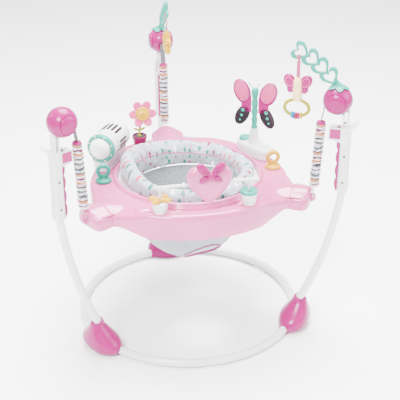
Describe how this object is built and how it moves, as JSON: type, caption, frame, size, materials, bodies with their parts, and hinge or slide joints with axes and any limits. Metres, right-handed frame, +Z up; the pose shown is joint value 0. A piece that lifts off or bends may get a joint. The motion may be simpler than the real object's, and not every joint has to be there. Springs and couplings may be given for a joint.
{
  "type": "baby jumper",
  "caption": "Free-standing baby jumper: ring base with curved arms, toy tray on sleeved springs, swivelling padded seat, spinning toys and heart-link arches with hanging toys.",
  "frame": {"origin": "middle of the footprint's bounding box, on the floor", "axes": "+Z up from the floor, +Y from the heart toy at the front towards the back post, +X to the right post"},
  "size_m": [0.7912, 0.761, 0.8127],
  "materials": {
    "white_steel": "gloss enamel",
    "white_plastic": "satin",
    "hot_pink_plastic": "gloss",
    "light_pink_plastic": "gloss",
    "petal_plastic": "gloss",
    "teal_plastic": "gloss",
    "yellow_plastic": "gloss",
    "magenta_plastic": "gloss",
    "lime_plastic": "satin",
    "webbing": "woven",
    "spring_steel": "zinc plated",
    "cover_fabric": "gathered print",
    "seat_fabric": "printed"
  },
  "bodies": {
    "frame": {"base_tube_front": "white_steel", "base_tube_right": "white_steel", "base_tube_left": "white_steel", "base_pad_front": "white_plastic", "base_pad_right": "white_plastic", "base_pad_left": "white_plastic", "foot_left": "hot_pink_plastic", "foot_right": "hot_pink_plastic", "foot_back": "hot_pink_plastic", "arm_left": "white_steel", "arm_right": "white_steel", "arm_back": "white_steel", "post_left": "white_plastic", "post_right": "white_plastic", "post_back": "white_plastic", "strap_buckle_left": "hot_pink_plastic", "strap_buckle_right": "hot_pink_plastic", "strap_buckle_back": "hot_pink_plastic", "spring_housing_left": "hot_pink_plastic", "spring_housing_right": "hot_pink_plastic", "spring_housing_back": "hot_pink_plastic", "hanger_strap_left": "webbing", "hanger_strap_right": "webbing", "hanger_strap_back": "webbing"},
    "suspension": {"spring_left": "spring_steel", "spring_right": "spring_steel", "spring_back": "spring_steel", "spring_cover_left": "cover_fabric", "spring_cover_right": "cover_fabric", "spring_cover_back": "cover_fabric"},
    "tray": {"tray": "light_pink_plastic", "piano_base": "white_plastic", "piano_dome": "teal_plastic", "flower_pot": "magenta_plastic", "bar_socket_left": "white_plastic", "bar_socket_right": "white_plastic", "heart_bar": "white_plastic", "butterfly_base": "white_plastic"},
    "seat": {"seat_ring": "white_plastic", "seat_pad": "seat_fabric", "seat_sling": "seat_fabric"},
    "piano_roller": {"piano_drum": "white_plastic"},
    "loop_teal": {"teal_loop": "teal_plastic"},
    "loop_yellow": {"yellow_loop": "yellow_plastic"},
    "flower_stalk": {"flower_stem": "lime_plastic"},
    "flower": {"flower_head": "petal_plastic"},
    "spinner_bow": {"bow_spinner": "yellow_plastic"},
    "spinner_disc": {"disc_spinner": "teal_plastic"},
    "heart": {"heart_toy": "light_pink_plastic"},
    "flap_left": {"wing_left": "hot_pink_plastic"},
    "flap_right": {"wing_right": "hot_pink_plastic"},
    "dial": {"butterfly_dial": "teal_plastic"},
    "arch_right": {"heart_arch_right": "teal_plastic"},
    "arch_back": {"heart_arch_back": "teal_plastic"},
    "toy_right": {"hanging_butterfly": "hot_pink_plastic"},
    "toy_back": {"hanging_star": "yellow_plastic"},
    "strap_left": {"height_strap_left": "hot_pink_plastic"},
    "strap_right": {"height_strap_right": "hot_pink_plastic"},
    "strap_back": {"height_strap_back": "hot_pink_plastic"}
  },
  "joints": [
    {"name": "height_adjust", "type": "slide", "parent": "frame", "child": "suspension", "axis": [0, 0, 1], "range_m": [-0.108, 0], "deforming": ["hanger_strap_left", "hanger_strap_right", "hanger_strap_back"]},
    {"name": "seat_bounce", "type": "slide", "parent": "suspension", "child": "tray", "axis": [0, 0, 1], "range_m": [-0.05, 0.03], "stiffness_N_per_m": 1500, "springref_m": 0.02613, "deforming": ["spring_left", "spring_right", "spring_back", "spring_cover_left", "spring_cover_right", "spring_cover_back"]},
    {"name": "seat_swivel", "type": "hinge", "parent": "tray", "child": "seat", "pos_m": [0, -0.0695, 0.4], "axis": [0, 0, 1], "continuous": true},
    {"name": "drum_roll", "type": "hinge", "parent": "tray", "child": "piano_roller", "pos_m": [-0.19501, 0.04767, 0.482], "axis": [-0.515, -0.8572, 0], "continuous": true},
    {"name": "teal_loop_turn", "type": "hinge", "parent": "tray", "child": "loop_teal", "pos_m": [-0.2275, -0.0695, 0.43], "axis": [0, 0, 1], "continuous": true},
    {"name": "yellow_loop_turn", "type": "hinge", "parent": "tray", "child": "loop_yellow", "pos_m": [0.23436, -0.07768, 0.43], "axis": [0, 0, 1], "continuous": true},
    {"name": "flower_sway", "type": "hinge", "parent": "tray", "child": "flower_stalk", "pos_m": [-0.09858, 0.12997, 0.4533], "axis": [1, 0, 0], "range_deg": [-12, 12], "stiffness_Nm_per_rad": 0.8},
    {"name": "flower_spin", "type": "hinge", "parent": "flower_stalk", "child": "flower", "pos_m": [-0.08752, 0.13669, 0.5165], "axis": [0, -0.9397, 0.342], "continuous": true},
    {"name": "bow_spin", "type": "hinge", "parent": "tray", "child": "spinner_bow", "pos_m": [-0.1128, -0.2795, 0.453], "axis": [0, 0, 1], "continuous": true},
    {"name": "disc_spin", "type": "hinge", "parent": "tray", "child": "spinner_disc", "pos_m": [0.1128, -0.2795, 0.453], "axis": [0, 0, 1], "continuous": true},
    {"name": "heart_spin", "type": "hinge", "parent": "tray", "child": "heart", "pos_m": [0, -0.3275, 0.51], "axis": [1, 0, 0], "continuous": true},
    {"name": "wing_left_flap", "type": "hinge", "parent": "tray", "child": "flap_left", "pos_m": [0.20783, 0.02303, 0.56], "axis": [0, 0, 1], "range_deg": [0, 50]},
    {"name": "wing_right_flap", "type": "hinge", "parent": "tray", "child": "flap_right", "pos_m": [0.20783, 0.02303, 0.56], "axis": [0, 0, 1], "range_deg": [-50, 0]},
    {"name": "dial_turn", "type": "hinge", "parent": "tray", "child": "dial", "pos_m": [0.1932, 0.05984, 0.45], "axis": [0, 0, 1], "continuous": true},
    {"name": "arch_right_turn", "type": "hinge", "parent": "frame", "child": "arch_right", "pos_m": [0.33775, -0.2645, 0.71], "axis": [0, 0, 1], "range_deg": [-45, 45]},
    {"name": "arch_back_turn", "type": "hinge", "parent": "frame", "child": "arch_back", "pos_m": [0, 0.3205, 0.71], "axis": [0, 0, 1], "range_deg": [-45, 45]},
    {"name": "toy_right_swing", "type": "hinge", "parent": "arch_right", "child": "toy_right", "pos_m": [0.24942, -0.2135, 0.7665], "axis": [0.866, -0.5, 0], "range_deg": [-40, 40]},
    {"name": "toy_back_swing", "type": "hinge", "parent": "arch_back", "child": "toy_back", "pos_m": [0, 0.2185, 0.7665], "axis": [0, 1, 0], "range_deg": [-40, 40]},
    {"name": "strap_left_slide", "type": "slide", "parent": "frame", "child": "strap_left", "axis": [0, 0, 1], "range_m": [0, 0.108]},
    {"name": "strap_right_slide", "type": "slide", "parent": "frame", "child": "strap_right", "axis": [0, 0, 1], "range_m": [0, 0.108]},
    {"name": "strap_back_slide", "type": "slide", "parent": "frame", "child": "strap_back", "axis": [0, 0, 1], "range_m": [0, 0.108]}
  ],
  "couplings": [
    {"joint": "wing_right_flap", "follows": "wing_left_flap", "ratio": -1},
    {"joint": "strap_left_slide", "follows": "height_adjust", "ratio": -1},
    {"joint": "strap_right_slide", "follows": "height_adjust", "ratio": -1},
    {"joint": "strap_back_slide", "follows": "height_adjust", "ratio": -1}
  ]
}
